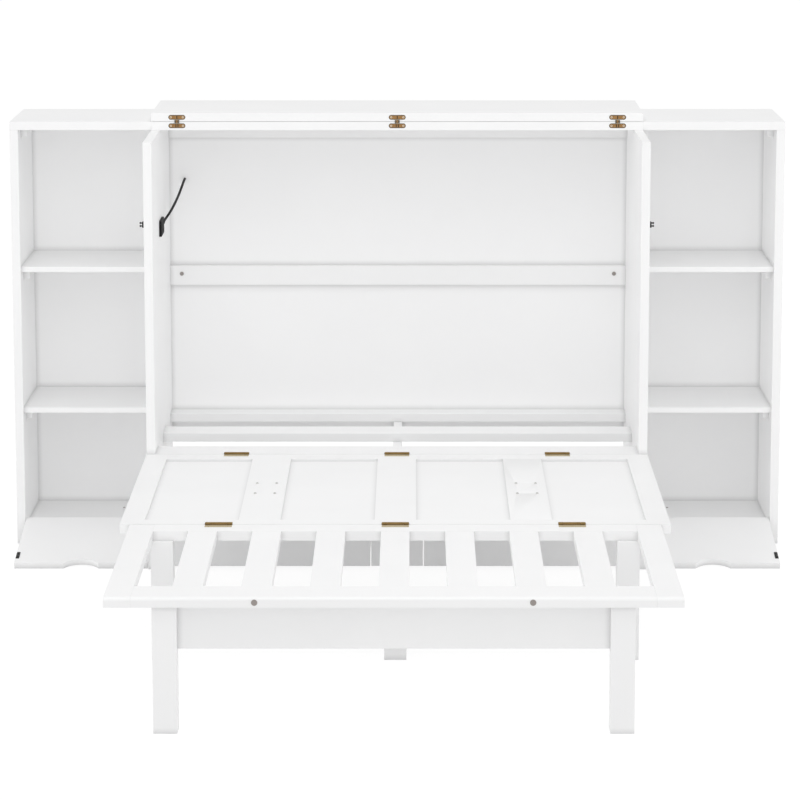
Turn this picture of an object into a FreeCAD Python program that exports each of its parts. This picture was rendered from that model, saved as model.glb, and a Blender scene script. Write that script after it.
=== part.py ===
import FreeCAD, Part
import math
import os
import re
from FreeCAD import Rotation, Vector

# Cabinet wall bed, opened: a low cabinet between two shelf towers, whose lid lies back on the
# top and whose front has folded down into a bed in two sections.
# +X is to the right, the front faces -Y, +Z is up, and the origin is on the floor below the
# middle of the whole part. "Forward" sizes count from the towers' front plane towards -Y.

SIZES = {
    # whole cabinet
    "centre_width": 1450,
    "tower_width": 419,
    "body_height": 1275,
    "body_depth": 368,
    "wing_reach": 324,
    "board": 25,
    "thin_board": 16,
    "back_thick": 6,
    "back_inset": 4,
    "back_groove": 8,
    "centre_back_low": 262,
    "back_rail_tall": 60,
    "back_rail_thick": 20,
    "mid_rail_low": 735,
    "rail_screw_out": 664,
    "rail_screw_up": 35,
    "rail_screw_radius": 6,
    "rail_screw_proud": 3,
    "running_gap": 0.3,
    "overrun": 5,
    # boards that carry the mattress inside the cabinet
    "platform_height": 343,
    "bed_thick": 25,
    "front_board_wide": 112,
    "middle_board_wide": 107,
    "middle_board_forward": 25,
    "back_board_wide": 80,
    # base with two drawers
    "partition_thick": 25,
    "post_width": 150,
    "post_recess": 2,
    "floor_gap": 10,
    "front_gap": 3,
    "drawer_front_thick": 18,
    "drawer_deep": 480,
    "drawer_tall": 182,
    "drawer_low": 40,
    "drawer_wall": 12,
    "drawer_floor": 6,
    "drawer_floor_up": 8,
    "runner_thick": 12,
    "runner_tall": 40,
    "runner_low": 110,
    "runner_deep": 440,
    "runner_from_front": 14,
    "packer_tall": 60,
    "packer_margin": 10,
    # towers
    "shelf_set_back": 16,
    "upper_shelf_high": 840,
    "lower_shelf_high": 414,
    "tower_floor": 53,
    "kick_set_back": 30,
    "support_wide": 18,
    "support_tall": 28,
    "support_deep": 18,
    "support_front": 72,
    "support_back_gap": 55,
    # small plates with two studs, outside on the wings
    "stud_plate_thick": 6,
    "stud_plate_long": 20,
    "stud_plate_tall": 17,
    "stud_plate_low": 1002,
    "stud_plate_set_back": 18,
    "stud_up": 4.2,
    "stud_pitch": 8.6,
    "stud_radius": 1.8,
    "stud_head_radius": 3,
    "stud_neck": 3.5,
    "stud_head": 4,
    # drop-down flaps of the lower tower compartments
    "flap_thick": 18,
    "flap_gap": 2,
    "flap_foot_gap": 4.5,
    "flap_axis_up": 9,
    "flap_pin_radius": 3,
    "flap_pin_seat": 12,
    "pin_play": 0.1,
    "notch_radius": 60,
    "notch_depth": 28,
    "catch_long": 44,
    "catch_wide": 10,
    "catch_thick": 2,
    "catch_from_edge": 32,
    "catch_from_side": 1,
    "catch_screw_radius": 3,
    "catch_screw_tall": 1.2,
    "catch_screw_pitch": 28,
    # lid and its three concealed hinges
    "lid_depth": 373,
    "lid_gap": 1,
    "lid_hinge_from_side": 75.5,
    "pill_long": 50,
    "pill_wide": 14.2,
    "pill_thick": 2.5,
    "pill_drop": 12,
    "tongue_wide": 13.5,
    "lid_knuckle": 4.5,
    "notch_play": 0.7,
    # butt hinges of the two bed sections
    "edge_gap": 1,
    "hinge_out": 464.5,
    "hinge_long": 71.5,
    "knuckle": 4,
    "leaf_thick": 2,
    "leaf_wide": 30,
    "hinge_pin_radius": 1.6,
    "knuckle_gap": 0.4,
    # first bed section, which is the closed cabinet's front
    "panel_length": 895,
    "side_stile_wide": 62,
    "middle_stile_wide": 110,
    "middle_stile_out": 359.5,
    "lower_rail_wide": 67,
    "upper_rail_wide": 55,
    "infill_thick": 7,
    "infill_seat": 8,
    "infill_recess": 7,
    "handle_pitch": 128,
    "handle_from_hinge": 458,
    "handle_pair": 54,
    "handle_out": 359.5,
    "handle_radius": 5,
    "handle_post_radius": 4,
    "handle_long": 188,
    "handle_reach": 32,
    "handle_screw_radius": 2.2,
    "screw_head_radius": 4,
    "screw_head_tall": 2,
    # second bed section, with the slats
    "frame_length": 771,
    "frame_clear": 1.8,
    "frame_side_wide": 66.2,
    "frame_back_wide": 77,
    "frame_front_wide": 113,
    "nose_radius": 9,
    "slat_wide": 74.5,
    "bolt_radius": 7.5,
    "bolt_long": 12,
    "bolt_proud": 1,
    # legs
    "leg": 58.5,
    "front_leg_in": 523.7,
    "front_leg_set_back": 16,
    "rear_leg_in": 578.9,
    "rear_leg_proud": 10.5,
    "apron_tall": 116,
    "apron_thick": 20,
    # outlet strip on the left wall, and its lead
    "strip_forward": 72,
    "strip_long": 106,
    "strip_tall": 47,
    "strip_thick": 7,
    "strip_drop": 308,
    "strip_corner": 5,
    "lead_radius": 3.75,
}

# The lead's corners: how far from the left wall, which share of the way from the strip's rear
# end to the back panel's rear face, and how far above the strip's lower edge
LEAD_ROUTE = (
    (4, 0, 29),
    (4, 0.097, 29),
    (20, 0.236, 50),
    (31, 0.442, 71),
    (39, 0.661, 91),
    (47, 0.873, 119),
    (47, 1, 119),
)

WORKED = {
    "half_centre": "centre_width / 2",
    "inner_half": "half_centre - board",
    "tower_outer": "half_centre + tower_width",
    "tower_wall": "tower_outer - board",
    "tower_middle": "(half_centre + tower_wall) / 2",
    "roof": "body_height - board",
    "back_face": "body_depth - back_inset - back_thick",
    "bed_under": "platform_height - bed_thick",
    "fold_high": "platform_height + knuckle - leaf_thick",
    "panel_near": "wing_reach + edge_gap",
    "panel_far": "panel_near + panel_length",
    "fold_forward": "panel_far + edge_gap",
    "frame_near": "fold_forward + edge_gap",
    "frame_far": "frame_near + frame_length",
    "centre_shift": "(frame_far + bolt_proud - lid_depth) / 2",
    "frame_half": "inner_half - frame_clear",
    "frame_inside": "frame_half - frame_side_wide",
    "slat_pitch": "(2 * frame_inside + slat_wide) / 8",
    "infill_low": "platform_height - infill_recess - infill_thick",
    "drawer_back_face": "wing_reach - drawer_front_thick",
    "runner_inner": "post_width / 2 + front_gap",
    "drawer_inner": "runner_inner + running_gap",
    "drawer_outer": "inner_half - runner_thick - running_gap",
    "drawer_top": "bed_under - front_gap",
    "flap_axis_high": "tower_floor + flap_foot_gap + flap_axis_up",
    "flap_reach": "lower_shelf_high - thin_board - flap_gap - flap_axis_high",
    "flap_width": "tower_wall - half_centre - 2 * flap_gap",
    "flap_lift": "asin(flap_axis_high / sqrt(flap_reach ^ 2 + flap_thick ^ 2 / 4))",
    "flap_drop": "flap_lift - atan(flap_thick / 2 / flap_reach)",
    "lid_axis_high": "body_height + lid_gap / 2",
    "handle_forward": "wing_reach + handle_from_hinge",
    "lid_hinge_out": "half_centre - lid_hinge_from_side",
    "support_rear": "back_face - support_back_gap - support_deep",
    "strip_low": "roof - strip_drop",
}

doc = FreeCAD.newDocument("wall_bed")
sheet = doc.addObject("Spreadsheet::Sheet", "sizes")
for row, (alias, value) in enumerate([*SIZES.items(), *WORKED.items()], 1):
    sheet.set(f"A{row}", alias)
    sheet.set(f"B{row}", str(value) if alias in SIZES else "=" + value)
    sheet.setAlias(f"B{row}", alias)
doc.recompute()

SIZE_NAME = re.compile(r"\b(" + "|".join([*SIZES, *WORKED]) + r")\b")
ALONG = {
    "x": Rotation(Vector(0, 1, 0), 90),
    "y": Rotation(Vector(1, 0, 0), -90),
    "z": Rotation(),
}
SIDES = (("left", -1), ("right", 1))
nodes = []


def bind(item, setting, text):
    """Tie one property to a formula, in which each size name points at the sheet."""
    item.setExpression(setting, SIZE_NAME.sub(r"sizes.\1", text))


def place(item, low, turn=Rotation()):
    """Put an item at three formulas, counted from the towers' front plane."""
    item.Placement = FreeCAD.Placement(Vector(), turn)
    bind(item, "Placement.Base.x", low[0])
    bind(item, "Placement.Base.y", f"centre_shift + {low[1]}")
    bind(item, "Placement.Base.z", low[2])
    return item


def block(low, span):
    """A plain board from its low corner and its three sides."""
    box = doc.addObject("Part::Box", "board")
    for side, text in zip(("Length", "Width", "Height"), span):
        bind(box, side, text)
    return place(box, low)


def rod(axis, start, radius, long):
    """A round rod along one axis from its start point."""
    item = doc.addObject("Part::Cylinder", "rod")
    bind(item, "Radius", radius)
    bind(item, "Height", long)
    return place(item, start, ALONG[axis])


def cut(base, tools):
    """The base with every tool taken out of it."""
    item = doc.addObject("Part::Cut", "cut")
    item.Base = base
    item.Tool = tools[0] if len(tools) == 1 else group(tools)
    return item


def fuse(parts):
    """Parts that are one solid."""
    item = doc.addObject("Part::MultiFuse", "fused")
    item.Shapes = parts
    return item


def group(parts):
    """Separate solids that stay side by side in one object."""
    item = doc.addObject("Part::Compound", "group")
    item.Links = parts
    return item


def node(label, item):
    """Name a finished piece, which is written to a file of its own."""
    item.Label = label
    nodes.append(item)
    return item


def on_side(sign, near, far):
    """Low X and width of a piece between two distances from the middle, on one side."""
    low = f"({near})" if sign > 0 else f"-({far})"
    return low, f"({far}) - ({near})"


def ahead(near, far):
    """Low Y and depth of a piece between two distances forward of the towers' front."""
    return f"-({far})", f"({far}) - ({near})"


def side_board(sign, near, far, y, z):
    """A board between two distances from the middle; y and z are (low, span) pairs."""
    x = on_side(sign, near, far)
    return block((x[0], y[0], z[0]), (x[1], y[1], z[1]))


def wide_board(half, y, z):
    """A board centred on the middle; y and z are (low, span) pairs."""
    return block((f"-({half})", y[0], z[0]), (f"2 * ({half})", y[1], z[1]))


# Pins that the towers' flaps turn on, one in the wall at each end of a flap
flap_pins = {}
PIN_SEATS = (
    ("outer", "tower_wall - flap_gap - flap_pin_seat"),
    ("inner", "half_centre - flap_pin_seat"),
)
for side, sign in SIDES:
    for wall, seat in PIN_SEATS:
        x = on_side(sign, seat, f"{seat} + 2 * flap_pin_seat + flap_gap")
        start = (x[0], "flap_thick / 2", "flap_axis_high")
        flap_pins[wall, side] = rod("x", start, "flap_pin_radius", x[1])
node("flap_pins", group(list(flap_pins.values())))

# Back panels, thin boards that slide in grooves in the side boards
back_y = ("back_face", "back_thick")
centre_back = wide_board("inner_half + back_groove", back_y, ("centre_back_low", "roof - centre_back_low"))
hole_from_wall, hole_share, hole_up = LEAD_ROUTE[-1]
hole_start = (f"{hole_from_wall} - inner_half", "back_face - overrun", f"strip_low + {hole_up}")
lead_hole = rod("y", hole_start, "lead_radius", "back_thick + 2 * overrun")
node("centre_back_panel", cut(centre_back, [lead_hole]))
tower_backs = {}
for side, sign in SIDES:
    tower_backs[side] = node(
        f"tower_back_{side}",
        side_board(
            sign,
            "half_centre - back_groove",
            "tower_wall + back_groove",
            back_y,
            ("tower_floor - thin_board", "roof - tower_floor + thin_board"),
        ),
    )

# Side walls of the centre unit, which run forward as wings and also close the towers. They are
# grooved for the back panels on both faces.
for side, sign in SIDES:
    wall = side_board(
        sign, "inner_half", "half_centre", ("-wing_reach", "wing_reach + body_depth"), ("0", "roof")
    )
    node(f"centre_side_{side}", cut(wall, [centre_back, tower_backs[side], flap_pins["inner", side]]))

# Rails across the back of the centre unit and the screws that show on the middle one
back_rail_y = ("back_face - back_rail_thick", "back_rail_thick")
node("back_top_rail", wide_board("inner_half", back_rail_y, ("roof - back_rail_tall", "back_rail_tall")))
node("back_mid_rail", wide_board("inner_half", back_rail_y, ("mid_rail_low", "back_rail_tall")))
screw_low = "back_face - back_rail_thick - rail_screw_proud"
rail_screws = [
    rod(
        "y",
        (f"{sign} * rail_screw_out", screw_low, "mid_rail_low + rail_screw_up"),
        "rail_screw_radius",
        "rail_screw_proud",
    )
    for side, sign in SIDES
]
node("mid_rail_screws", group(rail_screws))


# Butt hinges, laid open: their leaves lie flush in the tops of two boards. Each pin passes two
# short knuckles of the fixed half and a long one of the moving half between them.
FIXED_KNUCKLES = ((0, 1), (4, 1))
MOVING_KNUCKLES = ((1, 3),)


def knuckles(centre, forward, fifths, radius, gap):
    """Knuckles on a hinge line, each as (first fifth of the hinge, how many fifths)."""
    start = f"{centre} - hinge_long / 2"
    return [
        rod(
            "x",
            (f"{start} + {first} * hinge_long / 5 + {gap} / 2", f"-({forward})", "fold_high"),
            radius,
            f"{count} * hinge_long / 5 - {gap}",
        )
        for first, count in fifths
    ]


def hinge_half(centre, forward, leaf, moving):
    """One half of a butt hinge whose pin lies on the given forward line."""
    own, other = (
        (MOVING_KNUCKLES, FIXED_KNUCKLES) if moving else (FIXED_KNUCKLES, MOVING_KNUCKLES)
    )
    relief = knuckles(centre, forward, other, "knuckle + running_gap", "0")
    half = fuse([cut(leaf, relief), *knuckles(centre, forward, own, "knuckle", "knuckle_gap")])
    start = (f"{centre} - hinge_long / 2", f"-({forward})", "fold_high")
    if moving:
        return cut(half, [rod("x", start, "hinge_pin_radius + pin_play", "hinge_long")])
    return fuse([half, rod("x", start, "hinge_pin_radius", "hinge_long")])


def leaves(forward, side):
    """The three leaves let into a board's top, behind (-1) or ahead (1) of a hinge line."""
    near, far = ("-leaf_wide", "-edge_gap") if side < 0 else ("edge_gap", "leaf_wide")
    y = ahead(f"{forward} + {near}", f"{forward} + {far}")
    return [
        block(
            (f"{at} * hinge_out - hinge_long / 2", y[0], "platform_height - leaf_thick"),
            ("hinge_long", y[1], "leaf_thick"),
        )
        for at in (-1, 0, 1)
    ]


def knuckle_seats(forward):
    """Room for the knuckles of a line's three hinges in the boards' edges."""
    return [
        knuckles(f"{at} * hinge_out", forward, ((0, 5),), "knuckle + running_gap", "-2 * running_gap")[0]
        for at in (-1, 0, 1)
    ]


def hinge_row(forward, board_leaves, moving):
    """Three hinge halves on one line."""
    return [
        hinge_half(f"{at} * hinge_out", forward, leaf, moving)
        for at, leaf in zip((-1, 0, 1), board_leaves)
    ]


base_leaves = leaves("wing_reach", -1)
panel_low_leaves = leaves("wing_reach", 1)
panel_far_leaves = leaves("fold_forward", -1)
frame_leaves = leaves("fold_forward", 1)
base_seats = knuckle_seats("wing_reach")
fold_seats = knuckle_seats("fold_forward")
node("panel_hinges_fixed", group(hinge_row("wing_reach", base_leaves, False)))
front_panel_halves = hinge_row("wing_reach", panel_low_leaves, True)
front_panel_halves += hinge_row("fold_forward", panel_far_leaves, False)
node("front_panel_hinges", group(front_panel_halves))
node("bed_hinges", group(hinge_row("fold_forward", frame_leaves, True)))

# Three flat boards inside the cabinet that carry the mattress's rear part
bed_z = ("bed_under", "bed_thick")
front_y = ahead("wing_reach - edge_gap - front_board_wide", "wing_reach - edge_gap")
node("bed_board_front", cut(wide_board("inner_half", front_y, bed_z), base_leaves + base_seats))
middle_y = ("-middle_board_forward", "middle_board_wide")
node("bed_board_middle", wide_board("inner_half", middle_y, bed_z))
back_y_board = ("back_face - back_board_wide", "back_board_wide")
node("bed_board_back", wide_board("inner_half", back_y_board, bed_z))

# Base: a centre partition behind a fixed post between the two drawer fronts
post_y = ahead("wing_reach - post_recess - board", "wing_reach - post_recess")
node("base_centre_panel", wide_board("post_width / 2", post_y, ("floor_gap", "bed_under - floor_gap")))
partition_y = ("-wing_reach + post_recess + board", "wing_reach - post_recess - board + back_face")
node("centre_partition", wide_board("partition_thick / 2", partition_y, ("0", "bed_under")))

# Drawers, their runners, and the packers that bring the inner runners out to the drawer sides
packers = []
runners = []
runner_y = ("-drawer_back_face + runner_from_front", "runner_deep")
for side, sign in SIDES:
    packers.append(
        side_board(
            sign,
            "partition_thick / 2",
            "runner_inner - runner_thick",
            runner_y,
            ("runner_low - packer_margin", "packer_tall"),
        )
    )
    for near, far in (
        ("runner_inner - runner_thick", "runner_inner"),
        ("inner_half - runner_thick", "inner_half"),
    ):
        runners.append(side_board(sign, near, far, runner_y, ("runner_low", "runner_tall")))
    face = side_board(
        sign,
        "runner_inner",
        "inner_half - front_gap",
        ahead("drawer_back_face", "wing_reach"),
        ("floor_gap", "drawer_top - floor_gap"),
    )
    finger = rod(
        "y",
        (
            f"{sign} * (runner_inner + inner_half - front_gap) / 2",
            "-wing_reach - overrun",
            "drawer_top + notch_radius - notch_depth",
        ),
        "notch_radius",
        "drawer_front_thick + 2 * overrun",
    )
    node(f"drawer_front_{side}", cut(face, [finger]))
    outside = side_board(
        sign,
        "drawer_inner",
        "drawer_outer",
        ("-drawer_back_face", "drawer_deep"),
        ("drawer_low", "drawer_tall"),
    )
    inside = side_board(
        sign,
        "drawer_inner + drawer_wall",
        "drawer_outer - drawer_wall",
        ("-drawer_back_face + drawer_wall", "drawer_deep - 2 * drawer_wall"),
        ("drawer_low + drawer_floor_up + drawer_floor", "drawer_tall"),
    )
    under = side_board(
        sign,
        "drawer_inner + drawer_wall",
        "drawer_outer - drawer_wall",
        ("-drawer_back_face + drawer_wall", "drawer_deep - 2 * drawer_wall"),
        ("drawer_low - overrun", "drawer_floor_up + overrun"),
    )
    node(f"drawer_box_{side}", cut(outside, [inside, under]))
node("drawer_runners", group(runners))
node("runner_packers", group(packers))

# Shelf towers, each with one side board of its own, and small blocks under its top and shelves
supports = []
kicks = []
stud_plates = []
shelf_levels = ("upper_shelf_high", "lower_shelf_high")
for side, sign in SIDES:
    outer = side_board(sign, "tower_wall", "tower_outer", ("0", "body_depth"), ("0", "roof"))
    node(f"tower_outer_side_{side}", cut(outer, [tower_backs[side], flap_pins["outer", side]]))
    top = side_board(sign, "half_centre", "tower_outer", ("0", "body_depth"), ("roof", "board"))
    node(f"tower_top_{side}", top)
    floor_z = ("tower_floor - thin_board", "thin_board")
    floor_board = side_board(sign, "half_centre", "tower_wall", ("0", "back_face"), floor_z)
    node(f"tower_bottom_{side}", floor_board)
    kick_y = ("kick_set_back", "thin_board")
    kicks.append(side_board(sign, "half_centre", "tower_wall", kick_y, ("0", "tower_floor - thin_board")))
    shelf_y = ("shelf_set_back", "back_face - shelf_set_back")
    shelves = [
        side_board(sign, "half_centre", "tower_wall", shelf_y, (f"{high} - thin_board", "thin_board"))
        for high in shelf_levels
    ]
    node(f"tower_shelves_{side}", group(shelves))
    for high in ("roof", *(f"{high} - thin_board" for high in shelf_levels)):
        for set_back in ("support_front", "support_rear"):
            for near in ("half_centre", "tower_wall - support_wide"):
                y = (set_back, "support_deep")
                z = (f"{high} - support_tall", "support_tall")
                supports.append(side_board(sign, near, f"{near} + support_wide", y, z))

    # A plate with two studs, near the front edge of the wing's outer face
    plate_y = ("-wing_reach + stud_plate_set_back", "stud_plate_long")
    plate_z = ("stud_plate_low", "stud_plate_tall")
    pieces = [side_board(sign, "half_centre", "half_centre + stud_plate_thick", plate_y, plate_z)]
    for up in (0, 1):
        middle_z = f"stud_plate_low + stud_up + {up} * stud_pitch"
        for radius, near, long in (
            ("stud_radius", "half_centre + stud_plate_thick", "stud_neck"),
            ("stud_head_radius", "half_centre + stud_plate_thick + stud_neck", "stud_head"),
        ):
            x = on_side(sign, near, f"{near} + {long}")
            middle = (x[0], f"{plate_y[0]} + stud_plate_long / 2", middle_z)
            pieces.append(rod("x", middle, radius, long))
    stud_plates.append(fuse(pieces))
node("tower_kick_boards", group(kicks))
node("shelf_supports", group(supports))
node("wing_stud_plates", group(stud_plates))


# Flaps: drawn upright about their pins, then turned down until the free edge meets the floor
def local_block(low, span):
    """A block in a flap's own frame, whose origin is on the pin line."""
    box = doc.addObject("Part::Box", "flap_piece")
    for side, text in zip(("Length", "Width", "Height"), span):
        bind(box, side, text)
    for axis, text in zip("xyz", low):
        bind(box, f"Placement.Base.{axis}", text)
    return box


def local_rod(axis, start, radius, long):
    """A rod in a flap's own frame."""
    item = doc.addObject("Part::Cylinder", "flap_rod")
    bind(item, "Radius", radius)
    bind(item, "Height", long)
    item.Placement = FreeCAD.Placement(Vector(), ALONG[axis])
    for letter, text in zip("xyz", start):
        bind(item, f"Placement.Base.{letter}", text)
    return item


def lay_down(item, sign):
    """Move a flap's piece to its tower and open it."""
    place(
        item,
        (f"{sign} * tower_middle", "flap_thick / 2", "flap_axis_high"),
        Rotation(Vector(1, 0, 0), 90),
    )
    bind(item, "Placement.Rotation.Angle", "90 deg + flap_drop")
    return item


for side, sign in SIDES:
    slab = local_block(
        ("-flap_width / 2", "-flap_thick / 2", "-flap_axis_up"),
        ("flap_width", "flap_thick", "flap_axis_up + flap_reach"),
    )
    finger = local_rod(
        "y",
        ("0", "-flap_thick / 2 - overrun", "flap_reach + notch_radius - notch_depth"),
        "notch_radius",
        "flap_thick + 2 * overrun",
    )
    bores = [
        local_rod("x", (start, "0", "0"), "flap_pin_radius + pin_play", "flap_pin_seat + running_gap")
        for start in ("-flap_width / 2", "flap_width / 2 - flap_pin_seat - running_gap")
    ]
    node(f"flap_{side}", lay_down(cut(slab, [finger, *bores]), sign))
    x = on_side(sign, "flap_width / 2 - catch_from_side - catch_wide", "flap_width / 2 - catch_from_side")
    plate = local_block(
        (x[0], "flap_thick / 2", "flap_reach - catch_from_edge - catch_long"),
        ("catch_wide", "catch_thick", "catch_long"),
    )
    catch_middle = "flap_reach - catch_from_edge - catch_long / 2"
    heads = [
        local_rod(
            "y",
            (
                f"{x[0]} + catch_wide / 2",
                "flap_thick / 2 + catch_thick",
                f"{catch_middle} + {end} * catch_screw_pitch / 2",
            ),
            "catch_screw_radius",
            "catch_screw_tall",
        )
        for end in (-1, 1)
    ]
    node(f"flap_catch_{side}", lay_down(fuse([plate, *heads]), sign))


# Lid hinges: a pill-shaped plate in each edge, joined by knuckles that sink into both boards
def pill(centre, up):
    """The plate and tongue of one hinge half, below (-1) or above (1) the hinge line."""
    high = f"lid_axis_high + {up} * (lid_gap / 2 + pill_drop)"
    half = "(pill_long - pill_wide) / 2"
    middle = block(
        (f"{centre} - {half}", "0", f"{high} - pill_wide / 2"), (f"2 * {half}", "pill_thick", "pill_wide")
    )
    ends = [
        rod("y", (f"{centre} + {end} * {half}", "0", high), "pill_wide / 2", "pill_thick") for end in (-1, 1)
    ]
    low = high if up < 0 else "lid_axis_high + lid_gap / 2"
    tongue = block((f"{centre} - tongue_wide / 2", "0", low), ("tongue_wide", "pill_thick", "pill_drop"))
    return fuse([middle, *ends, tongue])


def lid_knuckles(centre, places, radius, gap):
    """Some of a lid hinge's three knuckles on the lid's turning line."""
    step = "tongue_wide / 3"
    return [
        rod(
            "x",
            (f"{centre} - tongue_wide / 2 + {at} * {step} + {gap} / 2", "-lid_gap / 2", "lid_axis_high"),
            radius,
            f"{step} - {gap}",
        )
        for at in places
    ]


fixed_halves = []
moving_halves = []
top_pockets = []
lid_pockets = []
for at in (-1, 0, 1):
    centre = f"{at} * lid_hinge_out"
    lower = pill(centre, -1)
    upper = pill(centre, 1)
    line = (f"{centre} - tongue_wide / 2", "-lid_gap / 2", "lid_axis_high")
    pin = rod("x", line, "hinge_pin_radius", "tongue_wide")
    bore = rod("x", line, "hinge_pin_radius + pin_play", "tongue_wide")
    relief = [lid_knuckles(centre, places, "lid_knuckle + running_gap", "0") for places in ((0, 2), (1,))]
    fixed = cut(lower, relief[1])
    fixed_halves.append(fuse([fixed, pin, *lid_knuckles(centre, (0, 2), "lid_knuckle", "knuckle_gap")]))
    moving = fuse([cut(upper, relief[0]), *lid_knuckles(centre, (1,), "lid_knuckle", "knuckle_gap")])
    moving_halves.append(cut(moving, [bore]))
    notch = rod(
        "x",
        (f"{centre} - tongue_wide / 2 - notch_play", "-lid_gap / 2", "lid_axis_high"),
        "lid_knuckle + notch_play",
        "tongue_wide + 2 * notch_play",
    )
    top_pockets.append(fuse([lower, notch]))
    lid_pockets.append(fuse([upper, notch]))
node("lid_hinges_fixed", group(fixed_halves))
node("lid_hinges_moving", group(moving_halves))

# Top of the centre unit: the fixed rear half, and the lid lying folded back on it
rear_top = wide_board("half_centre", ("0", "body_depth"), ("roof", "board"))
node("rear_top_board", cut(rear_top, top_pockets))
lid = wide_board("half_centre", ("0", "lid_depth"), ("body_height + lid_gap", "board"))
node("lid_board", cut(lid, lid_pockets))

# First bed section: framed panels, with thin infills held in grooves of the rails and stiles
rail_half = "half_centre - side_stile_wide"
stile_y = ahead("panel_near + lower_rail_wide", "panel_far - upper_rail_wide")
stile_edges = (
    ("middle_stile_wide / 2", "middle_stile_out - middle_stile_wide / 2"),
    ("middle_stile_out + middle_stile_wide / 2", rail_half),
)
infill_y = ahead(
    "panel_near + lower_rail_wide - infill_seat", "panel_far - upper_rail_wide + infill_seat"
)
infills = [
    side_board(
        sign, f"{near} - infill_seat", f"{far} + infill_seat", infill_y, ("infill_low", "infill_thick")
    )
    for side, sign in SIDES
    for near, far in stile_edges
]
node("front_panel_infills", group(infills))
stiles = [
    cut(side_board(sign, rail_half, "half_centre", ahead("panel_near", "panel_far"), bed_z), infills)
    for side, sign in SIDES
]

# The closed front's bar handles hang below this section, in two pairs of upright bars
handle_bars = []
screw_holes = []
for side, sign in SIDES:
    for pair in (-1, 1):
        centre = f"{sign} * handle_out + {pair} * handle_pair / 2"
        bar_high = "bed_under - handle_reach + handle_radius"
        bar = rod(
            "y", (centre, "-handle_forward - handle_long / 2", bar_high), "handle_radius", "handle_long"
        )
        pieces = [bar]
        for end in (-1, 1):
            forward = f"-(handle_forward + {end} * handle_pitch / 2)"
            post = rod(
                "z", (centre, forward, bar_high), "handle_post_radius", "handle_reach - handle_radius"
            )
            shank = rod("z", (centre, forward, "bed_under"), "handle_screw_radius", "bed_thick")
            head = rod(
                "z", (centre, forward, "platform_height"), "screw_head_radius", "screw_head_tall"
            )
            screw_holes.append(shank)
            pieces += [post, shank, head]
        handle_bars.append(fuse(pieces))
node("front_handles", group(handle_bars))
for at in (-1, 0, 1):
    stile = block(
        (f"{at} * middle_stile_out - middle_stile_wide / 2", stile_y[0], bed_z[0]),
        ("middle_stile_wide", stile_y[1], bed_z[1]),
    )
    stiles.append(cut(stile, infills + (screw_holes if at else [])))
node("front_panel_stiles", group(stiles))
lower_y = ahead("panel_near", "panel_near + lower_rail_wide")
upper_y = ahead("panel_far - upper_rail_wide", "panel_far")
lower_rail = wide_board(rail_half, lower_y, bed_z)
node("front_panel_lower_rail", cut(lower_rail, infills + panel_low_leaves + base_seats))
upper_rail = wide_board(rail_half, upper_y, bed_z)
node("front_panel_upper_rail", cut(upper_rail, infills + panel_far_leaves + fold_seats))


# Second bed section: a frame with a rounded nose and seven slats
def nosed(item):
    """Round the upper front edge of a board of the second section."""
    corner_low = "-frame_far"
    x = ("-frame_half - overrun", "2 * (frame_half + overrun)")
    corner = block(
        (x[0], f"{corner_low} - overrun", "platform_height - nose_radius"),
        (x[1], "nose_radius + overrun", "nose_radius + overrun"),
    )
    round_nose = rod(
        "x", (x[0], f"{corner_low} + nose_radius", "platform_height - nose_radius"), "nose_radius", x[1]
    )
    return cut(item, [cut(corner, [round_nose])])


side_rails = [
    nosed(side_board(sign, "frame_inside", "frame_half", ahead("frame_near", "frame_far"), bed_z))
    for side, sign in SIDES
]
node("bed_side_rails", group(side_rails))
bed_back_y = ahead("frame_near", "frame_near + frame_back_wide")
node("bed_back_rail", cut(wide_board("frame_inside", bed_back_y, bed_z), frame_leaves + fold_seats))
bolts = [
    rod(
        "y",
        (f"{sign} * 2 * slat_pitch", "-frame_far - bolt_proud", "bed_under + bed_thick / 2"),
        "bolt_radius",
        "bolt_long",
    )
    for side, sign in SIDES
]
node("bed_bolts", group(bolts))
bed_front_y = ahead("frame_far - frame_front_wide", "frame_far")
node("bed_front_rail", cut(nosed(wide_board("frame_inside", bed_front_y, bed_z)), bolts))
slat_y = ahead("frame_near + frame_back_wide", "frame_far - frame_front_wide")
slats = [
    block((f"{at} * slat_pitch - slat_wide / 2", slat_y[0], bed_z[0]), ("slat_wide", slat_y[1], bed_z[1]))
    for at in range(-3, 4)
]
node("bed_slats", group(slats))

# Legs under the second section: two at the front with an apron, three at the fold
front_leg_y = ahead("frame_far - front_leg_set_back - leg", "frame_far - front_leg_set_back")
rear_leg_front = "frame_near + frame_back_wide + rear_leg_proud"
rear_leg_y = ahead(f"{rear_leg_front} - leg", rear_leg_front)
leg_z = ("0", "bed_under")
front_legs = [
    side_board(sign, "front_leg_in", "front_leg_in + leg", front_leg_y, leg_z) for side, sign in SIDES
]
rear_legs = [side_board(sign, "rear_leg_in", "rear_leg_in + leg", rear_leg_y, leg_z) for side, sign in SIDES]
node("front_legs", group(front_legs))
node("rear_legs", group([wide_board("leg / 2", rear_leg_y, leg_z), *rear_legs]))
apron_y = ahead("frame_far - front_leg_set_back - leg", "frame_far - front_leg_set_back - leg + apron_thick")
node("front_leg_apron", wide_board("front_leg_in", apron_y, ("bed_under - apron_tall", "apron_tall")))

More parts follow.
